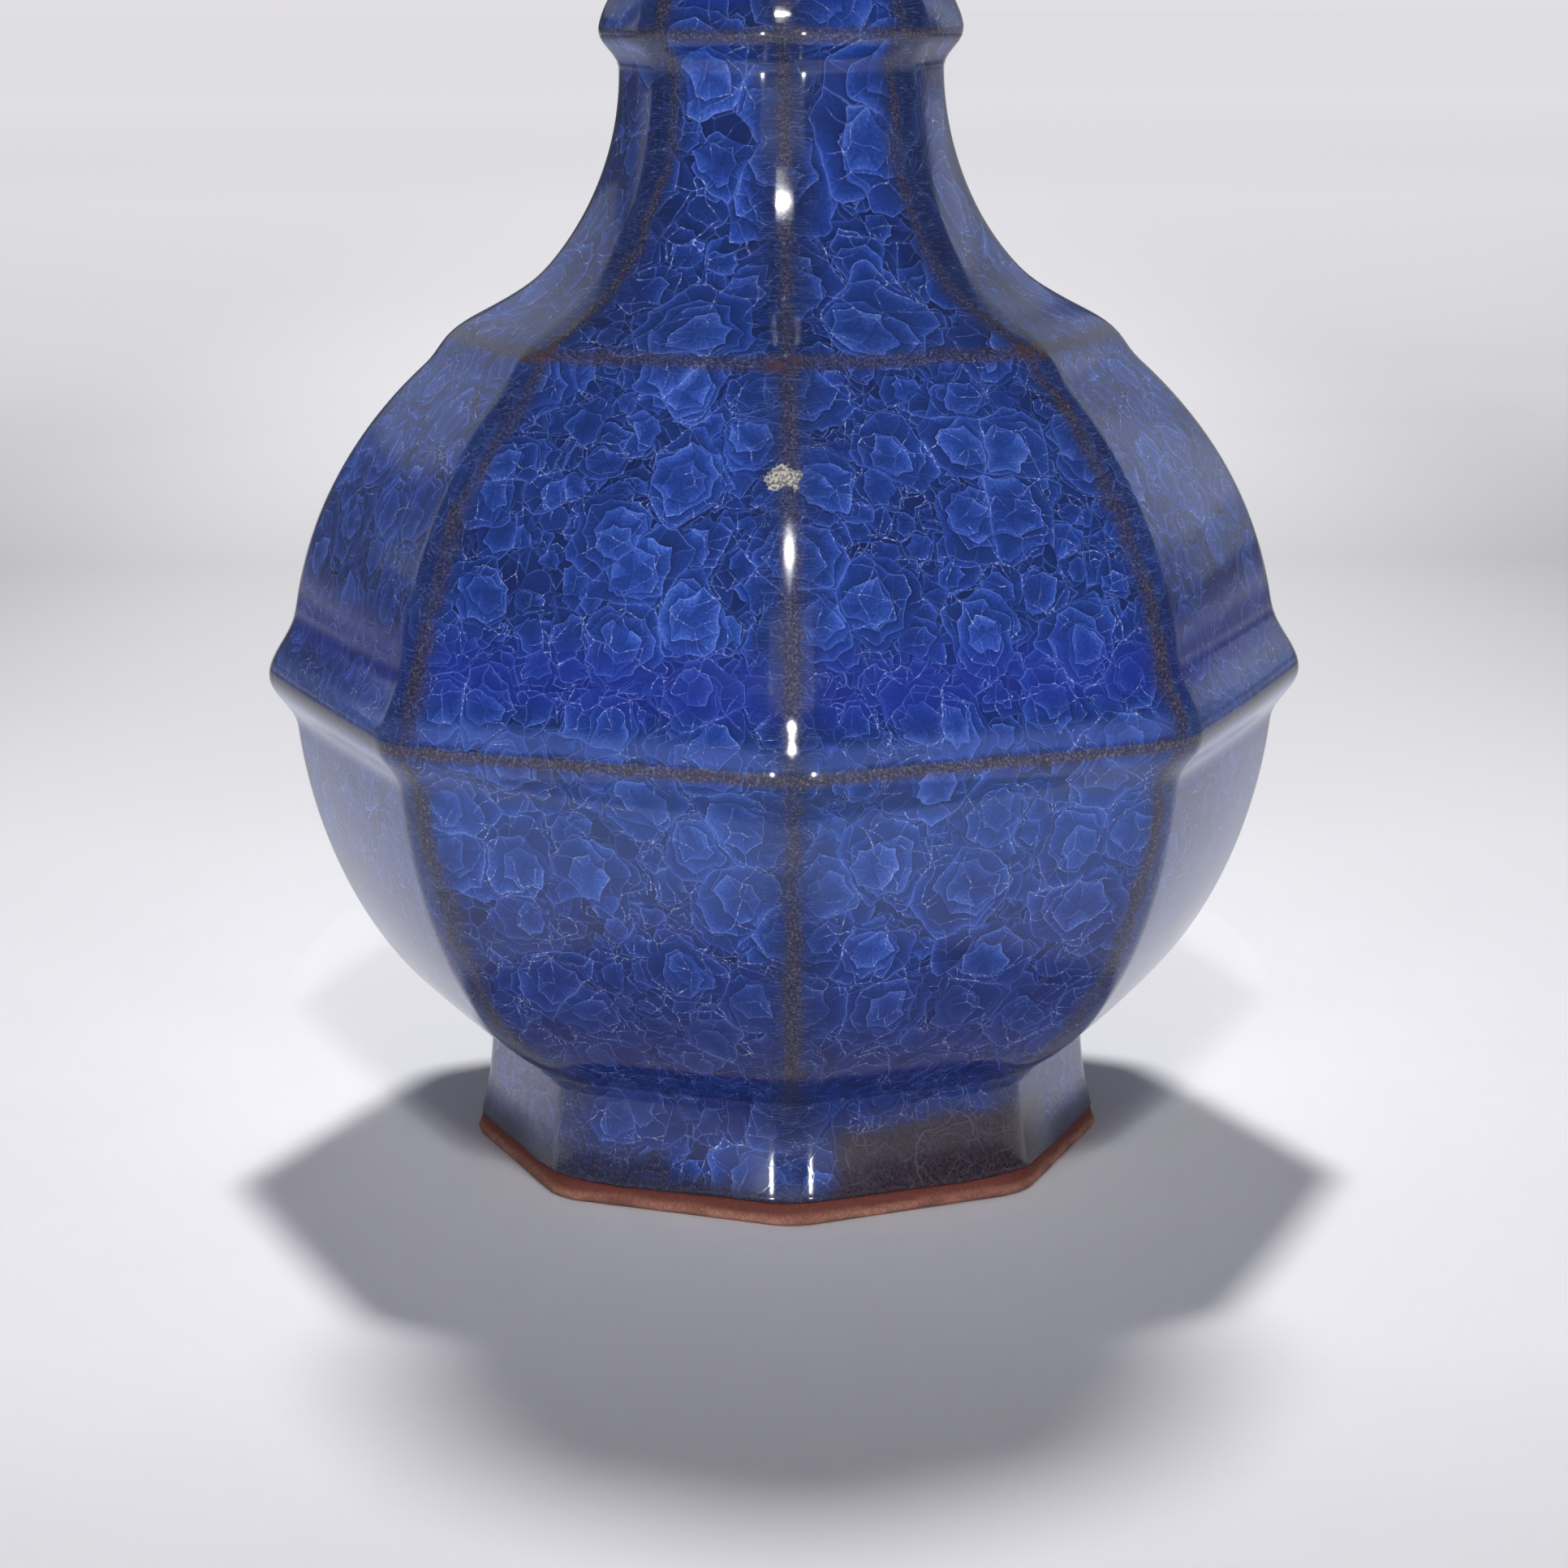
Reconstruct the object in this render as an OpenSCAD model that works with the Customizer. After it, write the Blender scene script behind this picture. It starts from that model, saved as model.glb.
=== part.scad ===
// Eight-sided bottle vase: clay sections luted with slip, under coats of glaze.
// Millimetres, +Z up. The origin is the middle of the foot, on the table.
// A corner of the vase points along -Y. Widths are across corners.

/* [Form] */
// Number of sides
sides = 8; // [6:2:12]
// Height from the table to the top of the mouth
total_h = 268; // [255:1:300]

/* [Foot] */
// Width of the foot at the table
foot_w = 106; // [90:1:126]
// Width of the waist, where the belly springs from the foot
waist_w = 99.5; // [82:0.5:118]
// Height of the foot, from the table to the waist
waist_h = 19; // [15:0.5:28]
// Height of the rim that is bare of glaze
bare_rim_h = 3.5; // [2:0.5:6]
// Thickness of the foot ring where it stands, across a side
foot_ring_t = 8; // [6:0.5:10]
// How much thinner the foot ring is under the floor, as the wall of the recess leans
recess_lean = 1.5; // [0.5:0.5:4]
// Bevel along the lower edges of the foot ring
foot_bevel = 0.8; // [0.4:0.1:1.2]

/* [Belly] */
// Width of the belly at its widest, without its ridge
belly_w = 162; // [136:1:192]
// Height of the lower belly, from the waist to the widest level
belly_h = 61; // [48:1:76]
// Height of the upper belly, from the widest level to the shoulder, where the neck begins
shoulder_h = 56; // [44:1:70]

/* [Neck] */
// Width of the shoulder
shoulder_w = 97; // [80:1:114]
// Width of the lower neck at its narrowest
neck_w = 53; // [44:1:64]
// Height of the lower neck, from the shoulder to that level
neck_h = 39; // [31:1:48]
// Width of the upper neck at its narrowest
throat_w = 49; // [42:1:58]
// Height from the narrowest level of the lower neck to that of the upper neck
throat_h = 30; // [24:1:58]
// Width of the mouth
mouth_w = 108; // [60:1:130]

/* [Ridges] */
// How far the crest of the belly ridge lies below the widest level
belly_ridge_drop = 2; // [-2:0.5:5]
// How far the belly ridge stands out at a corner
belly_ridge_out = 4; // [2:0.5:6]
// Depth of the belly ridge below its crest
belly_ridge_under = 8; // [6:0.5:11]
// Depth of the belly ridge above its crest
belly_ridge_over = 12; // [9:0.5:18]
// How far the crest of the shoulder ridge lies below the shoulder
shoulder_ridge_drop = 1; // [-1:0.5:3]
// How far the shoulder ridge stands out at a corner
shoulder_ridge_out = 2.4; // [1:0.1:3.5]
// Depth of the shoulder ridge below its crest
shoulder_ridge_under = 6.5; // [4:0.5:8]
// Depth of the shoulder ridge above its crest
shoulder_ridge_over = 9; // [6:0.5:12]
// How far the crest of the neck ridge lies above the narrowest level of the lower neck
neck_ridge_rise = 6; // [2:0.5:12]
// How far the neck ridge stands out at a corner
neck_ridge_out = 3.8; // [1.5:0.1:5]
// Depth of the neck ridge below its crest
neck_ridge_under = 6; // [4:0.5:8]
// Depth of the neck ridge above its crest
neck_ridge_over = 14; // [9:0.5:16]

/* [Walls] */
// Thickness of the clay wall
wall_t = 5; // [3:0.5:7]
// Thickness of the floor slab
floor_t = 6; // [4:0.5:8]
// Thickness of a slip seam
slip_t = 0.5; // [0.3:0.1:1]
// Thickness of the outer glaze
glaze_t = 1.2; // [0.6:0.1:1.6]
// Thickness of the inner glaze
liner_t = 0.8; // [0.5:0.1:1.2]
// Thickness of the glaze in the recess under the foot
base_glaze_t = 0.8; // [0.5:0.1:1.2]
// Rounding of the clay lip at the mouth
lip_round = 1.5; // [0.5:0.1:2]

/* [Hidden] */

clay_colour = "sienna";
slip_colour = "peru";
glaze_colour = "royalblue";

// How far a cut runs past what it cuts
overrun = 1;

// A side's distance from the axis, as a share of a corner's
flat_share = cos(180 / sides);

// How near each curve comes to a quarter of an ellipse at its far end
lower_belly_share = 0.96;
upper_belly_share = 0.81;
lower_neck_share = 0.89;
mouth_share = 0.7;

// Levels per stretch of the outline
foot_steps = 4;
belly_steps = 9;
ridge_steps = 4;
neck_steps = 7;
throat_steps = 3;
mouth_steps = 8;
lip_steps = 3;

// Heights above the table
belly_z = waist_h + belly_h;
shoulder_z = belly_z + shoulder_h;
neck_z = shoulder_z + neck_h;
throat_z = neck_z + throat_h;
ring_top = waist_h - slip_t - floor_t - slip_t;
floor_bottom = ring_top + slip_t;
floor_top = floor_bottom + floor_t;
belly_ridge_z = belly_z - belly_ridge_drop;
shoulder_ridge_z = shoulder_z - shoulder_ridge_drop;
neck_ridge_z = neck_z + neck_ridge_rise;
clay_top = total_h - glaze_t;

// Distance of a corner from the axis, ridges left out

// From (r_up, z_up), where the wall is upright, along an ellipse to (r_end, z_end)
function swell_r(z, r_up, z_up, r_end, z_end, share) =
    let (lean = share * (z - z_up) / (z_end - z_up))
    r_up + (r_end - r_up) * (1 - sqrt(1 - lean * lean)) / (1 - sqrt(1 - share * share));

// From (r_end, z_end) along a parabola to (r_up, z_up), where the wall is upright
function taper_r(z, r_up, z_up, r_end, z_end) =
    r_up + (r_end - r_up) * pow((z_up - z) / (z_up - z_end), 2);

function wall_r(z) =
    z < waist_h ? taper_r(z, waist_w / 2, waist_h, foot_w / 2, 0) :
    z < belly_z ? swell_r(z, belly_w / 2, belly_z, waist_w / 2, waist_h, lower_belly_share) :
    z < shoulder_z ? swell_r(z, belly_w / 2, belly_z, shoulder_w / 2, shoulder_z, upper_belly_share) :
    z < neck_z ? swell_r(z, neck_w / 2, neck_z, shoulder_w / 2, shoulder_z, lower_neck_share) :
    z < throat_z ? taper_r(z, throat_w / 2, throat_z, neck_w / 2, neck_z) :
    swell_r(z, throat_w / 2, throat_z, mouth_w / 2, total_h, mouth_share);

// Ridges

// A hump of height one at zero that has died away at one
function hump(x, power) = x < 1 ? pow((1 + cos(180 * x)) / 2, power) : 0;

// The under side of a ridge is a plain wave, and its upper side runs out in a hollow
under_power = 1;
over_power = 1.25;

function ridge_r(z, crest, out, under, over) =
    out * (z < crest ? hump((crest - z) / under, under_power) : hump((z - crest) / over, over_power));

function ridges_r(z) =
    ridge_r(z, belly_ridge_z, belly_ridge_out, belly_ridge_under, belly_ridge_over)
    + ridge_r(z, shoulder_ridge_z, shoulder_ridge_out, shoulder_ridge_under, shoulder_ridge_over)
    + ridge_r(z, neck_ridge_z, neck_ridge_out, neck_ridge_under, neck_ridge_over);

// Outlines: lists of [distance of a side from the axis, height], from the table up

// n levels from a towards b, without b itself
function spread(a, b, n) = [for (i = [0 : n - 1]) a + (b - a) * i / n];

function ridge_levels(crest, under, over) =
    concat(spread(crest - under, crest, ridge_steps), spread(crest, crest + over, ridge_steps + 1));

levels = concat(
    spread(0, waist_h, foot_steps),
    spread(waist_h, belly_ridge_z - belly_ridge_under, belly_steps),
    ridge_levels(belly_ridge_z, belly_ridge_under, belly_ridge_over),
    spread(belly_ridge_z + belly_ridge_over, shoulder_ridge_z - shoulder_ridge_under, neck_steps),
    ridge_levels(shoulder_ridge_z, shoulder_ridge_under, shoulder_ridge_over),
    spread(shoulder_ridge_z + shoulder_ridge_over, neck_ridge_z - neck_ridge_under, neck_steps),
    ridge_levels(neck_ridge_z, neck_ridge_under, neck_ridge_over),
    spread(neck_ridge_z + neck_ridge_over, throat_z, throat_steps),
    spread(throat_z, total_h, mouth_steps),
    [total_h]
);

core_line = [for (z = levels) [wall_r(z) * flat_share, z]];

// Inward unit normal of the stretch from p to q
function inward(p, q) = let (d = q - p) [-d[1], d[0]] / norm(d);

// The line moved inward by t, square to each stretch
function inset(line, t) = [
    for (i = [0 : len(line) - 1])
        let (
            before = inward(line[max(i, 1) - 1], line[max(i, 1)]),
            after = inward(line[min(i, len(line) - 2)], line[min(i, len(line) - 2) + 1])
        )
        line[i] + t * (before + after) / (1 + before * after)
];

// The line with the ridges on it
function ridged(line) = [for (p = line) [p[0] + ridges_r(p[1]) * flat_share, p[1]]];

outer_line = ridged(core_line);
clay_line = ridged(inset(core_line, glaze_t));
bore_line = inset(core_line, glaze_t + wall_t);
liner_line = inset(core_line, glaze_t + wall_t + liner_t);

// The line's distance from the axis at height z
function at(line, z) = lookup(z, [for (p = line) [p[1], p[0]]]);

// The stretch of a line between two heights
function between(line, z0, z1) = concat(
    [[at(line, z0), z0]],
    [for (p = line) if (p[1] > z0 && p[1] < z1) p],
    [[at(line, z1), z1]]
);

// The stretch of a line up to an edge that is rounded over, inward (-1) or outward (1)
function rounded(line, z0, top, r, way) = concat(
    between(line, z0, top - r),
    [
        for (i = [1 : lip_steps])
            let (turn = 90 * i / lip_steps, z = top - r + r * sin(turn))
            [at(line, z) + way * r * (1 - cos(turn)), z]
    ]
);

// The same line, run on straight past its lower or its upper end
function run_down(line) = concat([[line[0][0], line[0][1] - overrun]], line);
function run_up(line) = concat(line, [[line[len(line) - 1][0], line[len(line) - 1][1] + overrun]]);

// Inner edge of the clay lip, where the outer and the inner glaze meet
lip_a = at(bore_line, clay_top) + lip_round;

// Wall of the recess under the foot
recess_a = at(outer_line, 0) - foot_ring_t;
recess_line = [[recess_a, 0], [at(clay_line, floor_bottom) - foot_ring_t + recess_lean, floor_bottom]];

// The solid whose every side has the given outline
module sided(line) {
    half_length = max([for (p = line) p[0]]) / flat_share + overrun;
    intersection_for (side = [1 : sides / 2])
        rotate([90, 0, (side - 1 / 2) * 360 / sides])
            linear_extrude(height = 2 * half_length, center = true)
                polygon(concat(line, [for (i = [len(line) - 1 : -1 : 0]) [-line[i][0], line[i][1]]]));
}

// A wall between an outer and an inner outline, open at both ends
module wall(outside, inside) {
    difference() {
        sided(outside);
        sided(run_down(run_up(inside)));
    }
}

module wall_section(z0, z1) {
    color(clay_colour) wall(between(clay_line, z0, z1), between(bore_line, z0, z1));
}

module slip_seam(z, inside) {
    color(slip_colour) wall(between(clay_line, z, z + slip_t), between(inside, z, z + slip_t));
}

module foot_ring() {
    outside = concat(
        [[at(outer_line, 0) - foot_bevel, 0]],
        between(outer_line, foot_bevel, bare_rim_h),
        between(clay_line, bare_rim_h, ring_top)
    );
    inside = concat([[recess_a + foot_bevel, 0]], between(recess_line, foot_bevel, ring_top));
    color(clay_colour) wall(outside, inside);
}

module slip_foot() { slip_seam(ring_top, recess_line); }

module floor_slab() {
    color(clay_colour) sided(between(clay_line, floor_bottom, floor_top));
}

module slip_floor() { slip_seam(floor_top, bore_line); }

module lower_belly() { wall_section(waist_h, belly_ridge_z); }

module slip_belly() { slip_seam(belly_ridge_z, bore_line); }

module upper_belly() { wall_section(belly_ridge_z + slip_t, shoulder_ridge_z); }

module slip_shoulder() { slip_seam(shoulder_ridge_z, bore_line); }

module lower_neck() { wall_section(shoulder_ridge_z + slip_t, neck_ridge_z); }

module slip_neck() { slip_seam(neck_ridge_z, bore_line); }

module upper_neck() {
    z0 = neck_ridge_z + slip_t;
    color(clay_colour)
        wall(rounded(clay_line, z0, clay_top, lip_round, -1), rounded(bore_line, z0, clay_top, lip_round, 1));
}

module outer_glaze() {
    color(glaze_colour) difference() {
        sided(rounded(outer_line, bare_rim_h, total_h, lip_round + glaze_t, -1));
        sided(run_down(rounded(clay_line, bare_rim_h, clay_top, lip_round, -1)));
        sided(run_down(run_up([[lip_a, clay_top], [lip_a, total_h]])));
    }
}

module inner_glaze() {
    color(glaze_colour) difference() {
        sided(concat(rounded(bore_line, floor_top, clay_top, lip_round, 1), [[lip_a, total_h]]));
        sided(run_up(rounded(liner_line, floor_top + liner_t, total_h, lip_round, 1)));
    }
}

module base_glaze() {
    coat_line = [for (p = recess_line) [p[0] - base_glaze_t, p[1]]];
    color(glaze_colour) difference() {
        sided(between(recess_line, bare_rim_h, floor_bottom));
        sided(run_down(between(coat_line, bare_rim_h, floor_bottom - base_glaze_t)));
    }
}

foot_ring();
slip_foot();
floor_slab();
slip_floor();
lower_belly();
slip_belly();
upper_belly();
slip_shoulder();
lower_neck();
slip_neck();
upper_neck();
outer_glaze();
inner_glaze();
base_glaze();
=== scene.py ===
"""Eight-sided bottle vase with a layered ice-crackle glaze, on pale paper under soft studio light."""

import math
from types import SimpleNamespace

import bmesh
import bpy
from mathutils import Matrix, Vector, noise


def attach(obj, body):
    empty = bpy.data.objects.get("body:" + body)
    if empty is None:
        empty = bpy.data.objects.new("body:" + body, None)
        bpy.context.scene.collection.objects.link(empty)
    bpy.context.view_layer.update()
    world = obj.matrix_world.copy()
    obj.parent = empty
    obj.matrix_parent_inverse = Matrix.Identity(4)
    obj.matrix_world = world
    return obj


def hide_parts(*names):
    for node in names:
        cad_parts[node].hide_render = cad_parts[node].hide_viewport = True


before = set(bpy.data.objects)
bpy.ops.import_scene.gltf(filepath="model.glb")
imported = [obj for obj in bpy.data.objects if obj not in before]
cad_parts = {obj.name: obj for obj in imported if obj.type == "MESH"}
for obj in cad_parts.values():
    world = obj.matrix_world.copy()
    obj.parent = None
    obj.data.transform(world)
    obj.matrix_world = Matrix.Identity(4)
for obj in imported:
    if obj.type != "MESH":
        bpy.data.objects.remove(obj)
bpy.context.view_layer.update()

# Sizes of the vase in metres: corner radii and heights, as in the solids
MM = 0.001
SIDES = 8
SECTOR = 2 * math.pi / SIDES
FLAT = math.cos(math.pi / SIDES)
FOOT_R, WAIST_R, BELLY_R, SHOULDER_R = 53 * MM, 49.75 * MM, 81 * MM, 48.5 * MM
NECK_R, THROAT_R, MOUTH_R = 26.5 * MM, 24.5 * MM, 54 * MM
WAIST_Z, BELLY_Z, SHOULDER_Z = 19 * MM, 80 * MM, 136 * MM
NECK_Z, THROAT_Z, TOP_Z = 175 * MM, 205 * MM, 268 * MM
# How much of a quarter circle each swelling wall follows
LOWER_SHARE, UPPER_SHARE, NECK_SHARE, MOUTH_SHARE = 0.96, 0.81, 0.89, 0.7
# Crest, reach outward, depth below and depth above of each ridge, and how hollow its upper slope is
RIDGES = (
    (78 * MM, 4 * MM, 8 * MM, 12 * MM),
    (135 * MM, 2.4 * MM, 6.5 * MM, 9 * MM),
    (181 * MM, 3.8 * MM, 6 * MM, 14 * MM),
)
RIDGE_HOLLOW = 1.25
# How far the glaze softens a crease or a crest, up and down
SOFTENING = 0.9 * MM
BARE_RIM = 3.5 * MM
GLAZE, WALL, LINER = 1.2 * MM, 5 * MM, 0.8 * MM
FLOOR_TOP, FLOOR_BOTTOM = 18.5 * MM, 12.5 * MM
LIP, CLAY_LIP = 2.7 * MM, 1.5 * MM
# The inner corner radius of the foot ring, from its thickness
RING_INNER_R = (FOOT_R * FLAT - 8 * MM) / FLAT
# How deep the back of the outer coat lies under its face
COAT_BACK = 1.25 * MM
# The outer coat's rounded corners, the room that its cuts leave at a corner, the cuts across a side, how much a side
# swells, and the depth and size of the unevenness that hands leave
CORNER, CORNER_ROOM, SIDE_CUTS = 3.4 * MM, 3.9 * MM, 7
SWELLING, UNEVEN, UNEVEN_SIZE = 0.5 * MM, 0.18 * MM, 26 * MM
# How high up the coat's lower edge is uneven, and by how much; the same for the bare clay
RUN_TOP, RUN_DEPTH = 9 * MM, 0.7 * MM
WEAR_TOP, WEAR_DEPTH, WEAR_SIZE = 4 * MM, 0.12 * MM, 3 * MM
# The map of the sides: metres of glaze to one unit, how far apart the sides lie, and above which height the flakes grow
# and by how much
MAP_UNIT, SIDE_SHIFT = 0.1, 0.31
GROWTH_Z, GROWTH = SHOULDER_Z - 2 * MM, 1.45
# Steps round a bevelled corner, the height under which an edge counts as level, and from how many roundings on it counts
# as one across a side
BEVEL_STEPS, LEVEL, ACROSS_SIDE = 6, 0.1 * MM, 2.5


def swell(z, r_up, z_up, r_end, z_end, share):
    """Corner radius of a wall that is upright at z_up and bends along a share of a quarter circle to its end."""
    lean = share * (z - z_up) / (z_end - z_up)
    return r_up + (r_end - r_up) * (1 - math.sqrt(1 - lean * lean)) / (1 - math.sqrt(1 - share * share))


def taper(z, r_up, z_up, r_end, z_end):
    """Corner radius of a wall that is upright at z_up and leans more and more to its end."""
    return r_up + (r_end - r_up) * ((z_up - z) / (z_up - z_end)) ** 2


def wall_r(z):
    """Corner radius of the vase at height z, ridges left out."""
    z = min(max(z, 0.0), TOP_Z)
    if z < WAIST_Z:
        return taper(z, WAIST_R, WAIST_Z, FOOT_R, 0)
    if z < BELLY_Z:
        return swell(z, BELLY_R, BELLY_Z, WAIST_R, WAIST_Z, LOWER_SHARE)
    if z < SHOULDER_Z:
        return swell(z, BELLY_R, BELLY_Z, SHOULDER_R, SHOULDER_Z, UPPER_SHARE)
    if z < NECK_Z:
        return swell(z, NECK_R, NECK_Z, SHOULDER_R, SHOULDER_Z, NECK_SHARE)
    if z < THROAT_Z:
        return taper(z, THROAT_R, THROAT_Z, NECK_R, NECK_Z)
    return swell(z, THROAT_R, THROAT_Z, MOUTH_R, TOP_Z, MOUTH_SHARE)


def ridge_r(z):
    """How far the ridges stand out at height z."""
    out = 0.0
    for crest, reach, under, over in RIDGES:
        x = (crest - z) / under if z < crest else (z - crest) / over
        if x < 1:
            out += reach * ((1 + math.cos(math.pi * x)) / 2) ** (1 if z < crest else RIDGE_HOLLOW)
    return out


def outline(z):
    """Corner radius of the glazed outside, its creases and crests softened as glaze softens them."""
    steps = [(i / 4 * SOFTENING, 1 - abs(i) / 5) for i in range(-4, 5)]
    whole = sum(weight for _, weight in steps)
    return sum(weight * (wall_r(z + step) + ridge_r(z + step)) for step, weight in steps) / whole


def heights(low, high, step):
    count = max(1, round(abs(high - low) / step))
    return [low + (high - low) * i / count for i in range(count + 1)]


def under_wall(depth):
    """The plain wall's line moved inward by a depth, square to the wall: corner radii by height."""
    line, near = [], 0.2 * MM
    for z in heights(0.0, TOP_Z, MM):
        low, high = max(z - near, 0.0), min(z + near, TOP_Z)
        out, up = (wall_r(high) - wall_r(low)) * FLAT, high - low
        length = math.hypot(out, up)
        line.append((wall_r(z) - depth * up / length / FLAT, z + depth * out / length))
    return line


def radius_at(line, z):
    """Corner radius of a line at height z."""
    for (r0, z0), (r1, z1) in zip(line, line[1:]):
        if z0 <= z <= z1:
            return r0 + (r1 - r0) * (z - z0) / (z1 - z0)
    return line[0][0] if z < line[0][1] else line[-1][0]


# Mesh making

def is_upright(edge):
    a, b = edge.verts[0].co, edge.verts[1].co
    turn = abs(math.atan2(a.y, a.x) - math.atan2(b.y, b.x))
    return min(turn, 2 * math.pi - turn) < 1e-4 and (a - b).length > 1e-7


def octagon_wall(line, rounding, cuts, closed=True):
    """An eight-sided wall: a loop of eight is extruded along a line of (corner radius, height), then its upright
    corners are rounded and its sides cut into strips. A closed line ends where it began; an open one is capped."""
    bm = bmesh.new()
    bmesh.ops.create_circle(bm, cap_ends=False, radius=line[0][0], segments=SIDES)
    bmesh.ops.translate(bm, verts=bm.verts[:], vec=(0, 0, line[0][1]))
    first = loop = bm.edges[:]
    for (r0, z0), (r1, z1) in zip(line, line[1:]):
        grown = bmesh.ops.extrude_edge_only(bm, edges=loop)["geom"]
        verts = [g for g in grown if isinstance(g, bmesh.types.BMVert)]
        loop = [g for g in grown if isinstance(g, bmesh.types.BMEdge) and g.is_boundary]
        bmesh.ops.scale(bm, vec=(r1 / r0, r1 / r0, 1), verts=verts)
        bmesh.ops.translate(bm, vec=(0, 0, z1 - z0), verts=verts)
    if closed:
        bmesh.ops.bridge_loops(bm, edges=first + loop)
    upright = [e for e in bm.edges if is_upright(e)]
    bmesh.ops.bevel(bm, geom=upright, offset=rounding, offset_type="OFFSET", affect="EDGES", segments=BEVEL_STEPS,
                    profile=0.5, material=-1, clamp_overlap=False)
    across = [e for e in bm.edges
              if abs(e.verts[0].co.z - e.verts[1].co.z) < LEVEL and e.calc_length() > ACROSS_SIDE * rounding]
    bmesh.ops.subdivide_edges(bm, edges=across, cuts=cuts, use_grid_fill=True)
    if not closed:
        bmesh.ops.holes_fill(bm, edges=[e for e in bm.edges if e.is_boundary], sides=0)
    bmesh.ops.recalc_face_normals(bm, faces=bm.faces[:])
    return bm


def side_of(co):
    """The side that a point belongs to, counted round the vase, and the ways across it and out of it."""
    side = math.floor((math.atan2(co.y, co.x) + 2 * math.pi) / SECTOR)
    facing = (side + 0.5) * SECTOR
    return side, Vector((-math.sin(facing), math.cos(facing), 0)), Vector((math.cos(facing), math.sin(facing), 0))


def hand_made(bm, amount, size):
    """Moves the surface gently in and out, as a wall pressed and smoothed by hand has it."""
    for v in bm.verts:
        out = Vector((v.co.x, v.co.y, 0))
        if out.length > 1e-6:
            v.co += out.normalized() * amount * noise.noise(v.co / size)


def crowd_to_corners(bm, room):
    """Slides the cuts of each side towards its rounded corners, so that the side stays flat right up to them."""
    for v in bm.verts:
        _, along, out = side_of(v.co)
        end = v.co.dot(out) * math.tan(SECTOR / 2) - room
        share = v.co.dot(along) / end
        if abs(share) < 0.98:
            v.co += along * end * (math.sin(math.sin(share * math.pi / 2) * math.pi / 2) - share)


def bulge(bm, amount):
    """Swells the middle of each side a little, as clay pressed into a mould comes out."""
    for v in bm.verts:
        off = (math.atan2(v.co.y, v.co.x) + 4 * math.pi) % SECTOR - SECTOR / 2
        share = 1 - (math.tan(off) / math.tan(SECTOR / 2)) ** 2
        v.co += Vector((v.co.x, v.co.y, 0)).normalized() * amount * share


def lay_out(bm):
    """Unrolls each side: 1 in the map is 100 mm on the glaze, across the side and along its rise, and on across the
    lip. Above the shoulder ridge the map is stretched, as the flakes there are larger."""
    rise, low = [], 0.0
    for z in heights(0, TOP_Z, MM):
        rise.append(low)
        low += math.hypot(MM, (outline(z + MM) - outline(z)) * FLAT)
    start = rise[round(GROWTH_Z / MM)]
    layer = bm.loops.layers.uv.new("sides")
    for face in bm.faces:
        middle = face.calc_center_median()
        side, across, out = side_of(middle)
        growth = GROWTH if middle.z > GROWTH_Z else 1.0
        for corner in face.loops:
            co = corner.vert.co
            z = min(max(co.z / MM, 0), len(rise) - 1.001)
            up = rise[int(z)] + (rise[int(z) + 1] - rise[int(z)]) * (z - int(z))
            up += max(0.0, outline(min(co.z, TOP_Z)) * FLAT - co.dot(out) - MM)
            corner[layer].uv = ((co.dot(across) / growth + (side % SIDES) * SIDE_SHIFT) / MAP_UNIT,
                                (start + (up - start) / growth) / MAP_UNIT)


def finish_piece(name, bm, material, slot, *nodes):
    """Lays out a new piece, gives it its material and puts it in the place of its solid."""
    lay_out(bm)
    mesh = bpy.data.meshes.new(name)
    bm.to_mesh(mesh)
    bm.free()
    mesh.shade_smooth()
    mesh.materials.append(material)
    piece = bpy.data.objects.new(name, mesh)
    bpy.context.scene.collection.objects.link(piece)
    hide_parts(*nodes)
    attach(piece, "root")


# Material making. The vase's materials work in millimetres, the paper's in metres.

def srgb(r, g, b):
    shares = (r / 255, g / 255, b / 255)
    return tuple(c / 12.92 if c <= 0.04045 else ((c + 0.055) / 1.055) ** 2.4 for c in shares) + (1,)


def feed(tree, socket, value):
    if isinstance(value, bpy.types.NodeSocket):
        tree.links.new(value, socket)
    else:
        socket.default_value = value


def calc(tree, operation, *values):
    node = tree.nodes.new("ShaderNodeMath")
    node.operation = operation
    for socket, value in zip(node.inputs, values):
        feed(tree, socket, value)
    return node.outputs[0]


def times(tree, a, b):
    return calc(tree, "MULTIPLY", a, b)


def plus(tree, a, b):
    return calc(tree, "ADD", a, b)


def minus(tree, a, b):
    return calc(tree, "SUBTRACT", a, b)


def ratio(tree, a, b):
    return calc(tree, "DIVIDE", a, b)


def unsigned(tree, value):
    return calc(tree, "ABSOLUTE", value)


def distance(tree, x, y):
    return calc(tree, "SQRT", plus(tree, times(tree, x, x), times(tree, y, y)))


def swing(tree, share, width):
    """A noise value between 0 and 1 as a shift that swings about zero."""
    return times(tree, minus(tree, share, 0.5), width)


def vector(tree, operation, *values):
    node = tree.nodes.new("ShaderNodeVectorMath")
    node.operation = operation
    for socket, value in zip(node.inputs, values):
        feed(tree, socket, value)
    return node.outputs[0]


def scaled(tree, value, factor):
    node = tree.nodes.new("ShaderNodeVectorMath")
    node.operation = "SCALE"
    feed(tree, node.inputs[0], value)
    feed(tree, node.inputs["Scale"], factor)
    return node.outputs[0]


def blend(tree, share, a, b):
    """From colour a to colour b."""
    node = tree.nodes.new("ShaderNodeMix")
    node.data_type = "RGBA"
    for socket, value in ((node.inputs[0], share), (node.inputs[6], a), (node.inputs[7], b)):
        feed(tree, socket, value)
    return node.outputs[2]


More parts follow.
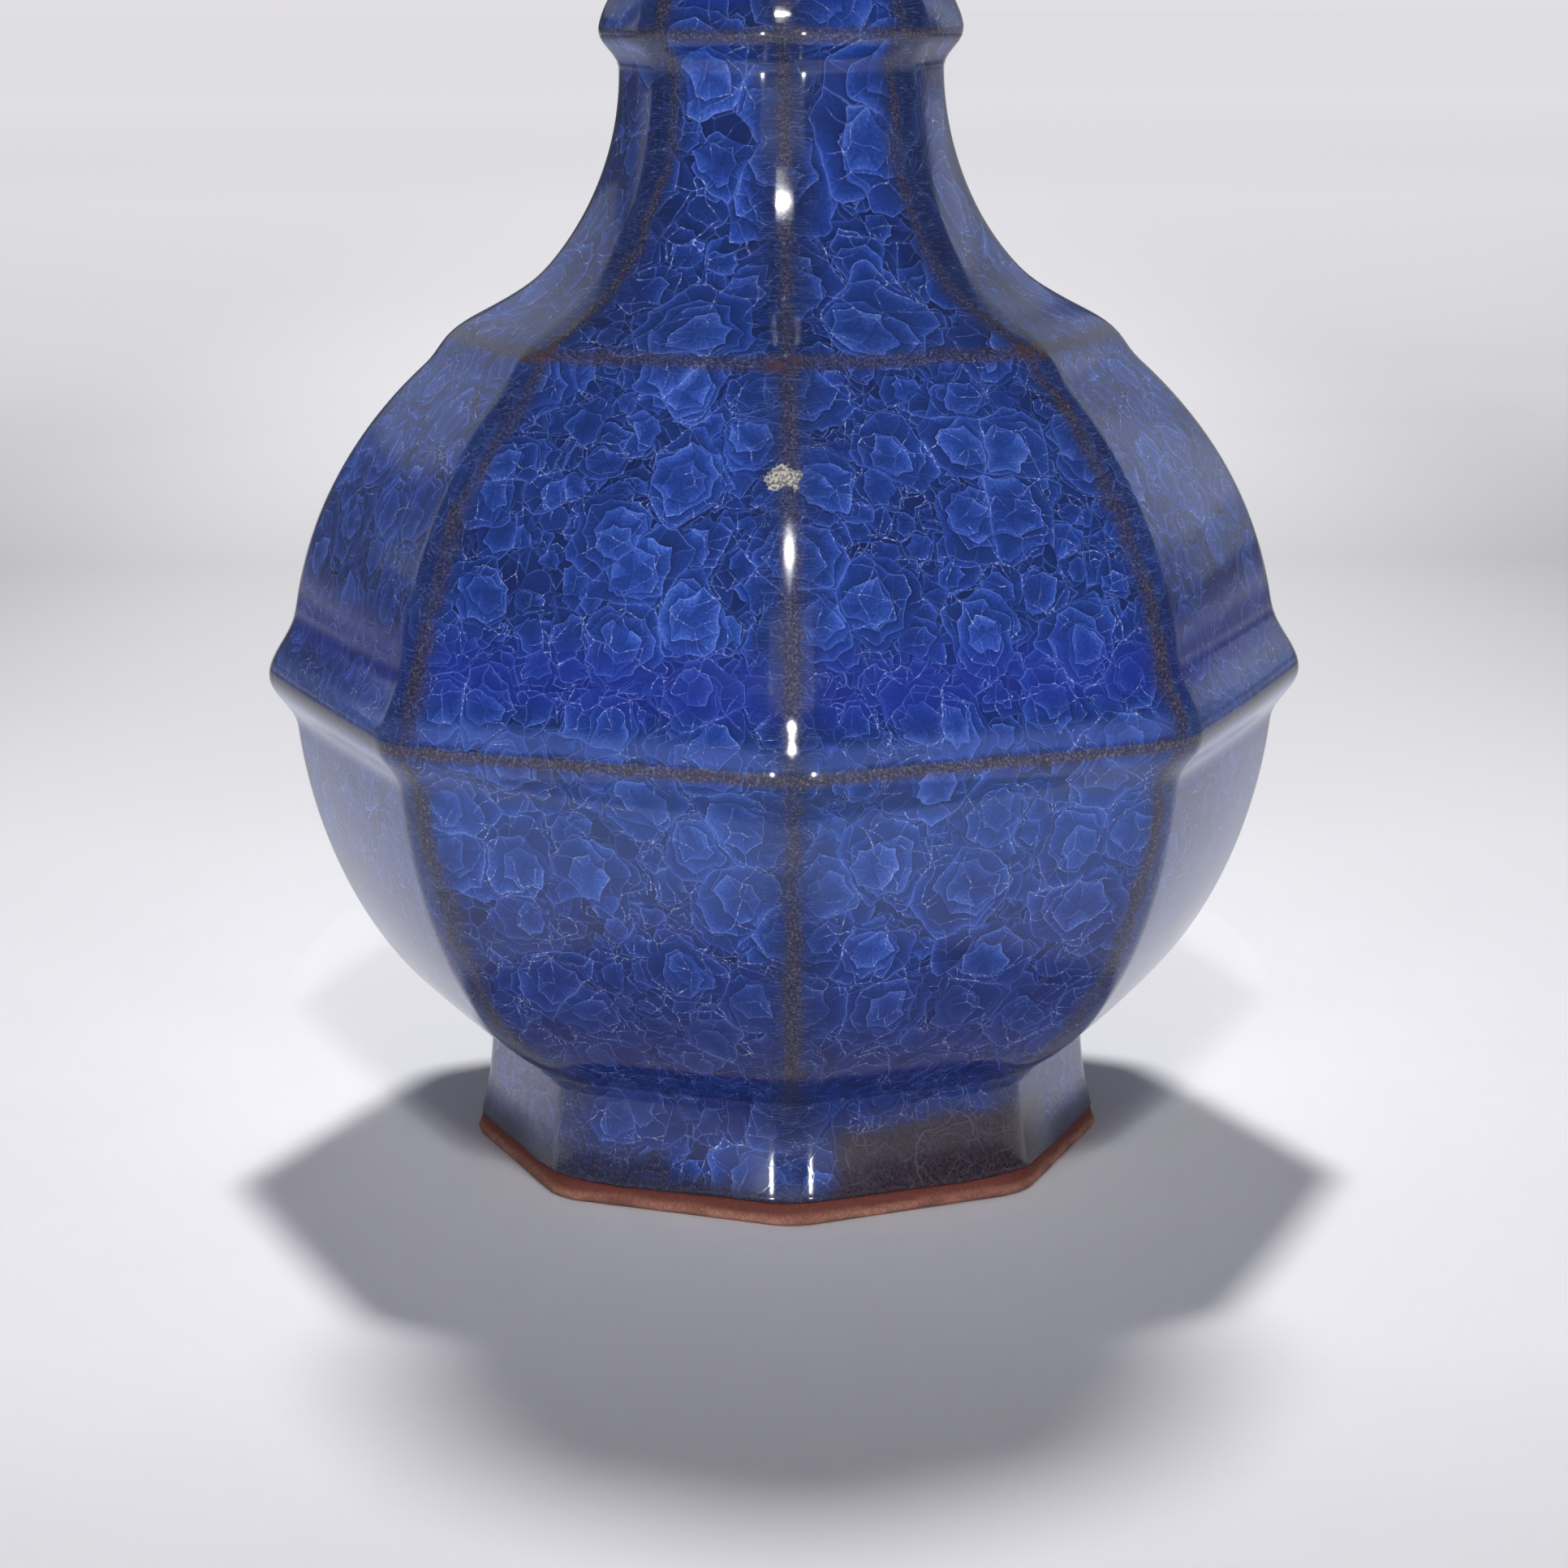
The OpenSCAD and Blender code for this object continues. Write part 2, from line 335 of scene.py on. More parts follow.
def between(tree, share, a, b):
    """From value a to value b."""
    node = tree.nodes.new("ShaderNodeMix")
    for socket, value in zip(node.inputs[:1] + node.inputs[2:4], (share, a, b)):
        feed(tree, socket, value)
    return node.outputs[0]


def tint(tree, colour, mask, strength, tone):
    """Lays a tone over a colour where a mask says so."""
    return blend(tree, times(tree, mask, strength), colour, tone)


def remap(tree, value, low, high, start=0.0, end=1.0, smooth=False):
    node = tree.nodes.new("ShaderNodeMapRange")
    if smooth:
        node.interpolation_type = "SMOOTHSTEP"
    for socket, v in zip(node.inputs, (value, low, high, start, end)):
        feed(tree, socket, v)
    return node.outputs[0]


def spread_over(tree, share, start, end):
    """A share between 0 and 1, spread from start to end."""
    return remap(tree, share, 0.0, 1.0, start, end)


def band(tree, value, start, full, fading, end):
    """Full between two limits, fading out softly beyond them."""
    return times(tree, remap(tree, value, start, full, smooth=True), remap(tree, value, end, fading, smooth=True))


def parts(tree, value):
    node = tree.nodes.new("ShaderNodeSeparateXYZ")
    feed(tree, node.inputs[0], value)
    return node.outputs


def three(tree, colour):
    """The three shares of a colour, as plain values."""
    node = tree.nodes.new("ShaderNodeSeparateColor")
    feed(tree, node.inputs[0], colour)
    return node.outputs[0], node.outputs[1], node.outputs[2]


def join(tree, x, y, z=0.0):
    node = tree.nodes.new("ShaderNodeCombineXYZ")
    for socket, value in zip(node.inputs, (x, y, z)):
        feed(tree, socket, value)
    return node.outputs[0]


def cells(tree, place, size, feature="F1", randomness=1.0):
    node = tree.nodes.new("ShaderNodeTexVoronoi")
    node.voronoi_dimensions = "2D"
    node.feature = feature
    feed(tree, node.inputs["Vector"], place)
    feed(tree, node.inputs["Scale"], 1 / size if isinstance(size, (int, float)) else ratio(tree, 1.0, size))
    feed(tree, node.inputs["Randomness"], randomness)
    return node.outputs


def cloud(tree, place, size, detail=2.0, dimensions="3D"):
    node = tree.nodes.new("ShaderNodeTexNoise")
    node.noise_dimensions = dimensions
    feed(tree, node.inputs["Vector"], place)
    feed(tree, node.inputs["Scale"], 1 / size)
    feed(tree, node.inputs["Detail"], detail)
    return node.outputs


def draws(tree, place):
    """Three random shares that belong to a place."""
    node = tree.nodes.new("ShaderNodeTexWhiteNoise")
    feed(tree, node.inputs["Vector"], place)
    return three(tree, node.outputs["Color"])


def ramp(tree, share, stops):
    node = tree.nodes.new("ShaderNodeValToRGB")
    elements = node.color_ramp.elements
    while len(elements) < len(stops):
        elements.new(0.5)
    for element, (position, colour) in zip(elements, stops):
        element.position = position
        element.color = colour
    feed(tree, node.inputs[0], share)
    return node.outputs[0]


def fade(tree, away, reach):
    """One where away is zero, dying away over the reach on either side."""
    return calc(tree, "EXPONENT", ratio(tree, unsigned(tree, away), times(tree, reach, -1.0)))


def relief(tree, shader, height, strength, depth):
    """Lets a height from 0 to 1 shade the surface, its depth in metres."""
    bump = tree.nodes.new("ShaderNodeBump")
    bump.inputs["Strength"].default_value = strength
    bump.inputs["Distance"].default_value = depth
    feed(tree, bump.inputs["Height"], height)
    feed(tree, shader.inputs["Normal"], bump.outputs[0])


def side_layout(tree):
    """The unrolled sides."""
    node = tree.nodes.new("ShaderNodeUVMap")
    node.uv_map = "sides"
    return scaled(tree, node.outputs[0], MAP_UNIT / MM)


def object_place(tree):
    return tree.nodes.new("ShaderNodeTexCoord").outputs["Object"]


def place_in_mm(tree, place):
    return scaled(tree, place, 1 / MM)


KINDS = {"value": "NodeSocketFloat", "vector": "NodeSocketVector"}


def new_group(name, inputs, outputs):
    tree = bpy.data.node_groups.new(name, "ShaderNodeTree")
    for label, kind in inputs:
        tree.interface.new_socket(name=label, in_out="INPUT", socket_type=KINDS[kind])
    for label, kind in outputs:
        tree.interface.new_socket(name=label, in_out="OUTPUT", socket_type=KINDS[kind])
    return tree, tree.nodes.new("NodeGroupInput").outputs, tree.nodes.new("NodeGroupOutput").inputs


def place_group(tree, group, **values):
    node = tree.nodes.new("ShaderNodeGroup")
    node.node_tree = group
    for label, value in values.items():
        feed(tree, node.inputs[label.replace("_", " ")], value)
    return node.outputs


def new_material(name):
    material = bpy.data.materials.new(name)
    material.use_nodes = True
    return material, material.node_tree, material.node_tree.nodes["Principled BSDF"]


# The crackle. Flakes: how far a middle strays and where a side lies, both in radii, how far a flake and each side of it
# turn, both in radians, and how hollow a side is
STRAY, SIDE_REACH, FLAKE_TURN, SIDE_TURN, SIDE_HOLLOW = 0.3, (0.8, 1.12), 6.283, 0.16, 1.5
# The painted shade under a flake's edge: its width and depth; how much bodies differ; the brightness of the painted
# glow along their rims
SHADE_WIDTH, SHADE_DEPTH, BODY_SPREAD, RIM_BRIGHT = 0.35, 0.34, 0.12, (0.14, 0.52)
# Cracks that split some flakes: the share left whole, and how strongly a split shows
WHOLE_SHARE, SPLIT_STRENGTH = 0.82, 0.55
SHARD_SIZE, HAIR_SIZE, HAIR_BEND = 3.2, 4.4, 1.6
BRIGHT_AND_LINES = (("Brightness", "value"), ("Lines", "value"))


def flake_group():
    """One many-sided flake of glaze, laid over the brightness and the crack lines below it."""
    tree, given, result = new_group("flake", (
        ("From Middle", "vector"), ("Key", "vector"), ("Radius", "value"), ("Corners", "value"), ("Number", "value"),
        ("Room", "value"), ("Kept", "value"), ("Body", "value"), ("Brightness", "value"), ("Lines", "value")),
        BRIGHT_AND_LINES)
    key, radius, number, kept = given["Key"], given["Radius"], given["Number"], given["Kept"]
    # 3.1 and 7.3 only keep the draws of flakes and of their sides apart
    own = draws(tree, vector(tree, "ADD", key, join(tree, times(tree, number, 3.1), number, number)))
    x, y, _ = parts(tree, given["From Middle"])
    x = plus(tree, x, times(tree, radius, spread_over(tree, own[0], -STRAY, STRAY)))
    y = plus(tree, y, times(tree, radius, spread_over(tree, own[1], -STRAY, STRAY)))
    turn = plus(tree, calc(tree, "ARCTAN2", y, x), times(tree, own[2], FLAKE_TURN))
    step = ratio(tree, 2 * math.pi, given["Corners"])
    side = calc(tree, "ROUND", ratio(tree, turn, step))
    off = minus(tree, turn, times(tree, side, step))
    next_side = plus(tree, side, calc(tree, "SIGN", off))
    reach = distance(tree, x, y)

    def edge(which):
        number_round = calc(tree, "WRAP", which, given["Corners"], 0.0)
        rolls = draws(tree, vector(tree, "ADD", key, join(tree, times(tree, number_round, 7.3), number)))
        facing = plus(tree, times(tree, which, step), spread_over(tree, rolls[1], -SIDE_TURN, SIDE_TURN))
        limit = times(tree, radius, spread_over(tree, rolls[0], *SIDE_REACH))
        hollow = calc(tree, "POWER", calc(tree, "COSINE", minus(tree, turn, facing)), SIDE_HOLLOW)
        return minus(tree, limit, times(tree, hollow, reach)), rolls

    here, rolls = edge(side)
    beyond, _ = edge(next_side)
    inward = calc(tree, "MINIMUM", calc(tree, "MINIMUM", here, beyond), given["Room"])
    inside = times(tree, calc(tree, "GREATER_THAN", inward, 0.0), kept)
    # painted shade just outside the flake's edge, on what lies below it
    dark = times(tree, times(tree, fade(tree, inward, SHADE_WIDTH), SHADE_DEPTH), kept)
    below = times(tree, given["Brightness"], minus(tree, 1.0, dark))
    body = plus(tree, given["Body"],
                remap(tree, plus(tree, own[2], rolls[2]), 0.0, 2.0, -BODY_SPREAD, BODY_SPREAD))
    # painted glow along the rim, fading inward
    rim = times(tree, fade(tree, inward, 1.0), spread_over(tree, rolls[1], *RIM_BRIGHT))
    split = times(tree, minus(tree, times(tree, step, 0.5), unsigned(tree, off)), reach)
    split = times(tree, remap(tree, split, 0.02, 0.12, 1.0, 0.0), calc(tree, "GREATER_THAN", rolls[0], WHOLE_SHARE))
    split = times(tree, split, remap(tree, inward, 0.0, times(tree, radius, 0.8), 1.0, 0.0))
    line = times(tree, remap(tree, inward, 0.04, 0.17, 1.0, 0.0), spread_over(tree, rolls[0], -0.1, 0.7))
    line = calc(tree, "MAXIMUM", line, times(tree, split, SPLIT_STRENGTH))
    feed(tree, result["Brightness"], between(tree, inside, below, plus(tree, body, rim)))
    feed(tree, result["Lines"], between(tree, inside, given["Lines"], line))
    return tree


def layer_group(name, flake, stack):
    """A layer of scattered flakes, stacked at each spot, the upper ones smaller: the stack gives each one's radius as a
    share of the spacing, its corners, and how much brighter its body is."""
    tree, given, result = new_group(name, (
        ("Place", "vector"), ("Spacing", "value"), ("Share", "value"), ("Body", "value"), *BRIGHT_AND_LINES),
        BRIGHT_AND_LINES)
    spacing = given["Spacing"]
    spot = cells(tree, given["Place"], spacing, randomness=0.9)
    room = times(tree, cells(tree, given["Place"], spacing, "DISTANCE_TO_EDGE", 0.9)["Distance"], spacing)
    kx, ky, kz = three(tree, spot["Color"])
    key = join(tree, kx, ky, kz)
    middle = vector(tree, "SUBTRACT", given["Place"], spot["Position"])
    middle = scaled(tree, middle, spread_over(tree, kz, 0.85, 1.3))
    kept = calc(tree, "LESS_THAN", ky, given["Share"])
    bright, lines = given["Brightness"], given["Lines"]
    for number, (share, corners, body) in enumerate(stack):
        laid = place_group(tree, flake, From_Middle=middle, Key=key, Corners=float(corners), Number=number + 1.0,
                           Radius=times(tree, spacing, share), Kept=kept, Room=room,
                           Body=plus(tree, given["Body"], body), Brightness=bright, Lines=lines)
        bright, lines = laid["Brightness"], laid["Lines"]
    feed(tree, result["Brightness"], bright)
    feed(tree, result["Lines"], lines)
    return tree


def shard_group():
    """Broken shards of glaze: a painted glow along some of their edges, dark where one is missing."""
    tree, given, result = new_group("shards", (("Place", "vector"), ("Size", "value")), BRIGHT_AND_LINES)
    inward = cells(tree, given["Place"], given["Size"], "DISTANCE_TO_EDGE")["Distance"]
    inward = times(tree, inward, given["Size"])
    x, y, z = three(tree, cells(tree, given["Place"], given["Size"])["Color"])
    body = spread_over(tree, x, 0.12, 0.36)
    # painted glow along some edges of each shard
    bright = plus(tree, body, times(tree, fade(tree, inward, 0.45), times(tree, y, 0.28)))
    lines = times(tree, remap(tree, inward, 0.03, 0.13, 1.0, 0.0), times(tree, z, 0.45))
    feed(tree, result["Brightness"], bright)
    feed(tree, result["Lines"], lines)
    return tree


def hair_group():
    """How far a point lies from the nearest hair crack, and the layout bent as the cracks bend."""
    tree, given, result = new_group("hair_cracks", (("Place", "vector"),), (("Distance", "value"), ("Bent", "vector")))
    bend = three(tree, cloud(tree, given["Place"], 7.0, 2.0, "2D")["Color"])
    bend = join(tree, *(spread_over(tree, share, -HAIR_BEND, HAIR_BEND) for share in bend[:2]))
    place = vector(tree, "ADD", given["Place"], bend)
    far = cells(tree, vector(tree, "ADD", place, (5, 3, 0)), HAIR_SIZE, "DISTANCE_TO_EDGE")["Distance"]
    feed(tree, result["Distance"], times(tree, far, HAIR_SIZE))
    feed(tree, result["Bent"], place)
    return tree


def crackle_group(chips, rosettes, shards, hairs):
    """Layered ice crackle on a flat layout."""
    tree, given, result = new_group("ice_crackle", (("Place", "vector"),), (*BRIGHT_AND_LINES, ("Sparkle", "value")))
    hair = place_group(tree, hairs, Place=given["Place"])
    place = hair["Bent"]
    laid = place_group(tree, shards, Place=vector(tree, "ADD", place, (11.3, 4.1, 0)), Size=SHARD_SIZE)
    # each layer: its own stretch of the pattern, the spacing of its flakes, how many are there, and how bright they are
    for layer, offset, spacing, share, body in ((chips, (0, 0, 0), 4.8, 0.95, 0.25),
                                                (chips, (37, 91, 0), 6.8, 0.75, 0.33),
                                                (rosettes, (83, 12, 0), 13.0, 0.88, 0.37)):
        laid = place_group(tree, layer, Place=vector(tree, "ADD", place, offset), Spacing=spacing, Share=share,
                           Body=body, Brightness=laid["Brightness"], Lines=laid["Lines"])
    # these patches decide where hair cracks show and where painted glints show along the cracks
    worn = cloud(tree, given["Place"], 5.0, 2.0, "2D")["Fac"]
    split = times(tree, remap(tree, hair["Distance"], 0.02, 0.11, 1.0, 0.0), remap(tree, worn, 0.42, 0.6, 0.05, 0.45))
    lines = calc(tree, "MAXIMUM", laid["Lines"], split)
    grain = cloud(tree, given["Place"], 0.42, 2.0, "2D")["Fac"]
    bright = times(tree, laid["Brightness"], remap(tree, grain, 0.25, 0.75, 0.84, 1.16))
    # painted glints: white specks along the cracks
    flash = cloud(tree, vector(tree, "ADD", given["Place"], (9, 9, 0)), 0.5, 1.0, "2D")["Fac"]
    flash = times(tree, remap(tree, flash, 0.56, 0.7), lines)
    feed(tree, result["Brightness"], bright)
    feed(tree, result["Lines"], lines)
    feed(tree, result["Sparkle"], times(tree, flash, remap(tree, worn, 0.45, 0.6)))
    return tree


def corner_group():
    """How far a point lies from its upright corner, positive towards the back, whether that is one of the corners
    beside the front, how high the point stands, and how far it lies across from the front corner."""
    tree, given, result = new_group("corner_place", (("Place", "vector"),), (
        ("Past Corner", "value"), ("Beside Front", "value"), ("Height", "value"), ("Across", "value")))
    x, y, z = parts(tree, given["Place"])
    turn = calc(tree, "WRAP", calc(tree, "ARCTAN2", y, x), 2 * math.pi + SECTOR / 2, SECTOR / 2)
    corner = times(tree, calc(tree, "ROUND", ratio(tree, turn, SECTOR)), SECTOR)
    off = minus(tree, turn, corner)
    reach = times(tree, distance(tree, x, y), 1 / MM)
    across = times(tree, x, 1 / MM)
    past = times(tree, times(tree, reach, calc(tree, "SINE", off)), calc(tree, "SIGN", x))
    feed(tree, result["Past Corner"], past)
    feed(tree, result["Beside Front"], calc(tree, "GREATER_THAN", unsigned(tree, across), times(tree, reach, 0.4)))
    feed(tree, result["Height"], times(tree, z, 1 / MM))
    feed(tree, result["Across"], across)
    return tree


FLAKE = flake_group()
CHIPS = layer_group("chips", FLAKE, ((0.56, 8, -0.05), (0.38, 7, 0.03)))
ROSETTES = layer_group("rosettes", FLAKE, ((0.58, 11, -0.06), (0.47, 9, 0.0), (0.37, 8, 0.05), (0.25, 7, 0.09)))
SHARDS = shard_group()
HAIRS = hair_group()
CRACKLE = crackle_group(CHIPS, ROSETTES, SHARDS, HAIRS)
CORNERS = corner_group()

# The crackle's tones from dark to bright, its lines, and the white of its painted glints
BLUES = ((0.0, srgb(15, 23, 58)), (0.25, srgb(24, 41, 93)), (0.5, srgb(32, 57, 130)), (0.75, srgb(51, 84, 166)),
         (1.0, srgb(88, 118, 202)))
LINE_SHARE, LINE_COLOUR, SPARKLE = 0.6, srgb(112, 140, 206), srgb(226, 230, 238)
PLAIN_LINE_SHARE, PLAIN_LINE_COLOUR = 0.5, srgb(110, 138, 200)
# Where the outside changes its tone with the height: start, full, fading and end, how strongly, and to which tone
GREY_BELLY = ((48.0, 66.0, 75.0, 77.5), 0.2, srgb(58, 90, 150))
DEEP_BELLY = ((8.0, 16.0, 32.0, 56.0), 0.56, srgb(4, 24, 92))
POOLS, POOL_SHARE, POOL_COLOUR = ((83.0, 87.0, 91.0, 98.0), (184.0, 187.0, 192.0, 204.0)), 0.55, srgb(24, 38, 128)
# a painted highlight: a paler band up the slope above the belly ridge
PAINTED_SLOPE_HIGHLIGHT = ((78.8, 79.8, 81.0, 83.5), 0.42, srgb(76, 96, 158))
RUST_LEVEL, RUST = (132.2, 133.4, 134.4, 135.4), srgb(82, 50, 40)
# The thin glaze: its height, width and strength on each ridge, and its speckle from dark to pale
THIN_CRESTS = ((77.9, 0.9, 0.95), (133.8, 0.9, 0.8), (180.6, 1.0, 0.8))
SKIN = ((0.32, srgb(32, 30, 42)), (0.48, srgb(50, 47, 58)), (0.6, srgb(76, 70, 76)), (0.72, srgb(116, 106, 100)))
# The brown patch low on the foot: where it lies across, and the cream kiln spot: across, height, width and tallness
PATCH_ACROSS = (4.0, 9.0, 38.0, 43.0)
SPOT_ACROSS, SPOT_HEIGHT, SPOT_WIDE, SPOT_TALL = -0.9, 118.7, 2.8, 1.8


def look_up(tree, place):
    """What the outer coat's recipe looks up at each point: where it lies, and noises that fray and sway its edges."""
    where = place_group(tree, CORNERS, Place=place)
    mm_place = place_in_mm(tree, place)
    slow = three(tree, cloud(tree, mm_place, 15.0, 2.0)["Color"])
    fine = three(tree, cloud(tree, mm_place, 1.9, 3.0)["Color"])
    return SimpleNamespace(
        place=place, mm_place=mm_place, height=where["Height"], across=where["Across"], past=where["Past Corner"],
        beside=where["Beside Front"], slow=slow, fine=fine, sway=swing(tree, slow[0], 3.0),
        frayed=swing(tree, fine[0], 2.0), speckle=cloud(tree, mm_place, 0.42, 3.0)["Fac"])


def levels_of_blue(tree, at, colour):
    """The lower belly is greyer high up and deeper low down, glaze pools above the belly ridge and the neck ridge, and
    a painted highlight makes the slope of the belly ridge paler."""
    colour = blend(tree, remap(tree, at.slow[1], 0.35, 0.65, 0.35, 0.0), colour, srgb(18, 30, 80))
    for levels, strength, tone in (GREY_BELLY, DEEP_BELLY):
        colour = tint(tree, colour, band(tree, at.height, *levels), strength, tone)
    pool = calc(tree, "MAXIMUM", *(band(tree, at.height, *levels) for levels in POOLS))
    colour = tint(tree, colour, pool, POOL_SHARE, POOL_COLOUR)
    levels, strength, tone = PAINTED_SLOPE_HIGHLIGHT
    # painted highlight along the slope above the belly's crest
    slope = band(tree, plus(tree, at.height, times(tree, at.frayed, 0.5)), *levels)
    return tint(tree, colour, slope, strength, tone)


def corner_skin(tree, at, colour):
    """Beside the upright corners a painted shade darkens the glaze, most on the neck, and fine cracks run out
    sideways. On the corners and along the ridges it is thin and shows a speckled skin, and rust where the shoulder
    ridge crosses."""
    neck = remap(tree, at.height, 120.0, 150.0, smooth=True)
    side = plus(tree, unsigned(tree, at.past), at.frayed)
    # painted shade beside the upright corners, deepest on the neck
    corner_shade = times(tree, remap(tree, side, 1.0, between(tree, neck, 6.5, 7.0), 1.0, 0.0, smooth=True),
                 between(tree, neck, 0.5, 0.8))
    colour = blend(tree, corner_shade, colour, srgb(26, 36, 70))
    ticks = cloud(tree, vector(tree, "MULTIPLY", at.mm_place, (0.22, 0.22, 1.7)), 1.0, 1.0)["Fac"]
    ticks = times(tree, remap(tree, unsigned(tree, minus(tree, ticks, 0.5)), 0.0, 0.02, 0.5, 0.0),
                  remap(tree, side, 2.0, 6.0, 1.0, 0.0))
    colour = blend(tree, ticks, colour, srgb(92, 108, 152))
    shift = times(tree, at.beside, remap(tree, at.slow[2], 0.35, 0.65, 1.2, 3.2))
    corner = unsigned(tree, plus(tree, at.past, shift))
    spread = plus(tree, corner, plus(tree, times(tree, at.frayed, 0.9), times(tree, at.sway, 0.35)))
    thin = times(tree, remap(tree, spread, 0.4, between(tree, neck, 2.3, 1.7), 1.0, 0.0, smooth=True),
                 remap(tree, at.slow[2], 0.3, 0.6, 1.0, 0.55))
    thin = times(tree, thin, remap(tree, at.height, 14.0, 24.0, 0.15, 1.0, smooth=True))
    for crest, width, strength in THIN_CRESTS:
        along = unsigned(tree, minus(tree, at.height, plus(tree, crest, times(tree, at.sway, 0.3))))
        along = plus(tree, along, times(tree, at.frayed, 0.6))
        along = remap(tree, along, width * 0.4, width * 1.7, strength, 0.0, smooth=True)
        thin = calc(tree, "MAXIMUM", thin, along)
    colour = tint(tree, colour, thin, 0.85, at.skin)
    rust = times(tree, remap(tree, side, 1.5, 4.5, 1.0, 0.0, smooth=True),
                 band(tree, plus(tree, at.height, at.frayed), *RUST_LEVEL))
    return tint(tree, colour, rust, remap(tree, at.fine[1], 0.42, 0.6, 0.0, 0.75), RUST)


def foot_brown(tree, at, colour, lines):
    """The glaze thins to brown low on the foot, most on the side to the right of the front."""
    low = remap(tree, at.bare, 4.0, between(tree, at.beside, 8.0, 13.0), 0.85, 0.0, smooth=True)
    colour = blend(tree, low, colour, blend(tree, 0.6, at.skin, srgb(26, 24, 34)))
    patch = times(tree, remap(tree, at.bare, 12.5, 16.0, 0.95, 0.0, smooth=True), band(tree, at.across, *PATCH_ACROSS))
    brown = blend(tree, remap(tree, at.speckle, 0.4, 0.6), srgb(30, 22, 34), srgb(52, 40, 48))
    colour = blend(tree, patch, colour, brown)
    return tint(tree, colour, patch, times(tree, lines, 0.55), srgb(112, 106, 122))


def kiln_spot(tree, at, colour):
    """One cream kiln spot on the front corner."""
    wide = calc(tree, "POWER", ratio(tree, minus(tree, at.across, SPOT_ACROSS), SPOT_WIDE), 2.0)
    tall = calc(tree, "POWER", ratio(tree, minus(tree, at.height, SPOT_HEIGHT), SPOT_TALL), 2.0)
    spot = plus(tree, plus(tree, wide, tall), times(tree, at.frayed, 1.6))
    in_front = calc(tree, "LESS_THAN", parts(tree, at.place)[1], 0.0)
    spot = times(tree, remap(tree, spot, 0.75, 0.95, 1.0, 0.0), in_front)
    cream = blend(tree, remap(tree, at.speckle, 0.42, 0.6), srgb(96, 96, 104), srgb(188, 180, 164))
    return blend(tree, spot, colour, cream)


def crackle_glaze():
    """The outside: cobalt crackle that thins to speckled brown on corners and ridges and pools above the ridges."""
    material, tree, shader = new_material("crackle_glaze")
    layout = side_layout(tree)
    crackle = place_group(tree, CRACKLE, Place=layout)
    at = look_up(tree, object_place(tree))
    at.skin = ramp(tree, at.speckle, SKIN)
    # the height as the thin edges of the glaze low on the foot sway and fray
    at.bare = plus(tree, at.height, plus(tree, times(tree, at.frayed, 1.2), at.sway))
    colour = levels_of_blue(tree, at, ramp(tree, crackle["Brightness"], BLUES))
    colour = tint(tree, colour, crackle["Lines"], LINE_SHARE, LINE_COLOUR)
    # painted glints along the cracks
    colour = blend(tree, crackle["Sparkle"], colour, SPARKLE)
    colour = corner_skin(tree, at, colour)
    colour = foot_brown(tree, at, colour, crackle["Lines"])
    feed(tree, shader.inputs["Base Color"], kiln_spot(tree, at, colour))
    # the thin glaze low on the sides of the foot is duller
    dull = times(tree, remap(tree, at.bare, 5.0, 12.0, 1.0, 0.0, smooth=True),
                 remap(tree, unsigned(tree, at.across), 38.0, 44.0))
    feed(tree, shader.inputs["Roughness"], between(tree, dull, remap(tree, at.slow[1], 0.3, 0.7, 0.1, 0.14), 0.55))
    shader.inputs["IOR"].default_value = 1.5
    hairs = place_group(tree, HAIRS, Place=layout)["Distance"]
    relief(tree, shader, remap(tree, hairs, 0.0, 0.28, smooth=True), 0.14, 0.03 * MM)
    return material


def plain_crackle(name, brightness):
    """The inside and the recess: the same glaze, thinner and plainer."""
    material, tree, shader = new_material(name)
    crackle = place_group(tree, CRACKLE, Place=side_layout(tree))
    colour = ramp(tree, times(tree, crackle["Brightness"], brightness), BLUES)
    colour = tint(tree, colour, crackle["Lines"], PLAIN_LINE_SHARE, PLAIN_LINE_COLOUR)
    feed(tree, shader.inputs["Base Color"], colour)
    worn = cloud(tree, place_in_mm(tree, object_place(tree)), 12.0, 3.0)["Fac"]
    feed(tree, shader.inputs["Roughness"], remap(tree, worn, 0.3, 0.7, 0.12, 0.24))
    relief(tree, shader, worn, 0.3, 0.2 * MM)
    return material


def fired_clay(name, dark, light, scorch=None):
    """Fired stoneware: sandy, mottled and matt, scorched along a height where one is given."""
    material, tree, shader = new_material(name)
    place = place_in_mm(tree, object_place(tree))
    patches = cloud(tree, place, 9.0, 3.0)["Fac"]
    sand = cloud(tree, place, 0.5, 3.0)["Fac"]
    colour = blend(tree, remap(tree, patches, 0.35, 0.65), dark, light)
    colour = blend(tree, remap(tree, sand, 0.35, 0.7, 0.0, 0.45), colour, srgb(58, 34, 30))
    if scorch:
        level = plus(tree, parts(tree, place)[2], remap(tree, patches, 0.3, 0.7, -0.5, 0.5))
        burnt = band(tree, level, scorch - 2.0, scorch - 0.9, scorch + 2, scorch + 4)
        colour = blend(tree, burnt, colour, srgb(88, 34, 22))
        colour = blend(tree, remap(tree, level, 0.0, 0.9, 0.5, 0.0), colour, srgb(70, 46, 42))
    feed(tree, shader.inputs["Base Color"], colour)
    feed(tree, shader.inputs["Roughness"], remap(tree, sand, 0.3, 0.7, 0.65, 0.9))
    relief(tree, shader, sand, 0.5, 0.2 * MM)
    return material


